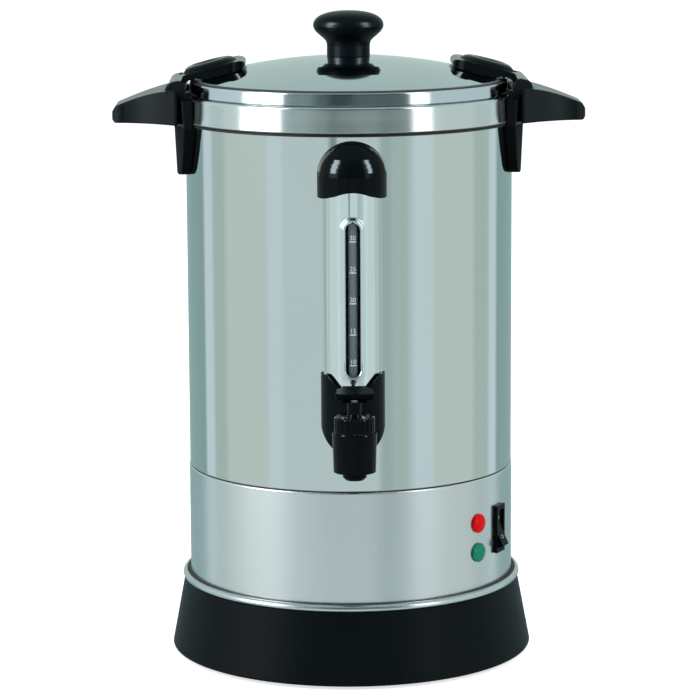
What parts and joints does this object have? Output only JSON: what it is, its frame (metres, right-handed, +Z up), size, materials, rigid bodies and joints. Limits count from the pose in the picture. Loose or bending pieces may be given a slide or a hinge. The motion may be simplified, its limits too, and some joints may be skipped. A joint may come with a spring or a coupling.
{
  "type": "coffee urn",
  "caption": "Round steel percolator urn with a sight gauge, self-closing tap, two lid latches that form side handles, signal lamps and a rocker switch.",
  "frame": {"origin": "on the vessel's axis, in the plane that the four feet stand on", "axes": "+Z up the vessel's axis, -Y towards the tap and the gauge, +Y towards the cord gland, +X towards the lamps and the switch"},
  "size_m": [0.3118, 0.3079, 0.4289],
  "materials": {
    "base_black": "fine satin moulding",
    "gloss_black": "glossy phenolic",
    "foot_rubber": "matt",
    "mirror_steel": "polished to a mirror",
    "satin_steel": "fine round brushed satin",
    "chrome_shield": "bright plated",
    "inner_steel": "mill finish",
    "brew_aluminium": "satin",
    "screw_steel": "zinc plated",
    "heater_metal": "dull",
    "heater_mica": "mica board",
    "block_ceramic": "unglazed",
    "gauge_tube": "clear",
    "white_seal": "silicone",
    "red_seal": "silicone",
    "acetal": "satin acetal",
    "spring_steel": "drawn wire",
    "red_lens": "clear red",
    "green_lens": "clear green"
  },
  "bodies": {
    "urn": {"base_shell": "base_black", "base_plate": "base_black", "feet": "foot_rubber", "base_screws": "screw_steel", "trim_ring": "mirror_steel", "lower_band": "satin_steel", "cord_gland": "base_black", "terminal_block": "block_ceramic", "heater_bracket": "inner_steel", "tie_bolt": "screw_steel", "main_heater": "heater_metal", "warm_heater": "heater_mica", "thermostat": "block_ceramic", "thermal_fuse": "screw_steel", "vessel_shell": "mirror_steel", "vessel_floor": "inner_steel", "rim_collar": "mirror_steel", "gauge_shield": "chrome_shield", "gauge_glass": "gauge_tube", "gauge_cap": "gloss_black", "gauge_top_seal": "white_seal", "gauge_bottom_seal": "white_seal", "tap_shroud": "gloss_black", "tap_body": "gloss_black", "tap_shank": "gloss_black", "tap_washer": "white_seal", "tap_nut": "screw_steel", "tap_bonnet": "gloss_black", "tap_spring": "spring_steel", "left_handle": "gloss_black", "right_handle": "gloss_black", "housing_screws": "screw_steel", "latch_pins": "screw_steel", "heating_lamp": "red_lens", "warm_lamp": "green_lens", "lamp_clips": "screw_steel", "switch_housing": "gloss_black", "pump_tube": "brew_aluminium", "pump_foot": "brew_aluminium", "coffee_basket": "brew_aluminium", "basket_cover": "brew_aluminium"},
    "lid": {"lid_shell": "mirror_steel", "lid_knob": "gloss_black", "lid_screw": "screw_steel"},
    "latch_left": {"left_latch": "gloss_black"},
    "latch_right": {"right_latch": "gloss_black"},
    "tap_valve": {"tap_stem": "acetal", "tap_seat_seal": "red_seal"},
    "tap_handle": {"tap_lever": "gloss_black", "tap_pin": "screw_steel"},
    "power_rocker": {"switch_rocker": "gloss_black"}
  },
  "joints": [
    {"name": "lid_lift", "type": "slide", "parent": "urn", "child": "lid", "axis": [0, 0, 1], "range_m": [0, 0.0307]},
    {"name": "left_latch_swing", "type": "hinge", "parent": "urn", "child": "latch_left", "pos_m": [-0.114, 0, 0.3803], "axis": [0, -1, 0], "range_deg": [0, 110]},
    {"name": "right_latch_swing", "type": "hinge", "parent": "urn", "child": "latch_right", "pos_m": [0.114, 0, 0.3803], "axis": [0, 1, 0], "range_deg": [0, 110]},
    {"name": "tap_valve_lift", "type": "slide", "parent": "urn", "child": "tap_valve", "axis": [0, 0, 1], "range_m": [0, 0.0028], "deforming": ["tap_spring"]},
    {"name": "tap_lever_press", "type": "hinge", "parent": "tap_valve", "child": "tap_handle", "pos_m": [0, -0.153, 0.2006], "axis": [1, 0, 0], "range_deg": [0, 25], "stiffness_Nm_per_rad": 0.15, "springref_deg": -28.65},
    {"name": "power_rocker_tilt", "type": "hinge", "parent": "urn", "child": "power_rocker", "pos_m": [0.09552, -0.04909, 0.0903], "axis": [0.4571, 0.8894, 0], "range_deg": [0, 24]}
  ],
  "couplings": [
    {"joint": "left_latch_swing", "follows": "lid_lift", "rad_per_m": 62.5},
    {"joint": "right_latch_swing", "follows": "lid_lift", "rad_per_m": 62.5},
    {"joint": "tap_valve_lift", "follows": "tap_lever_press", "m_per_rad": 0.0062}
  ]
}
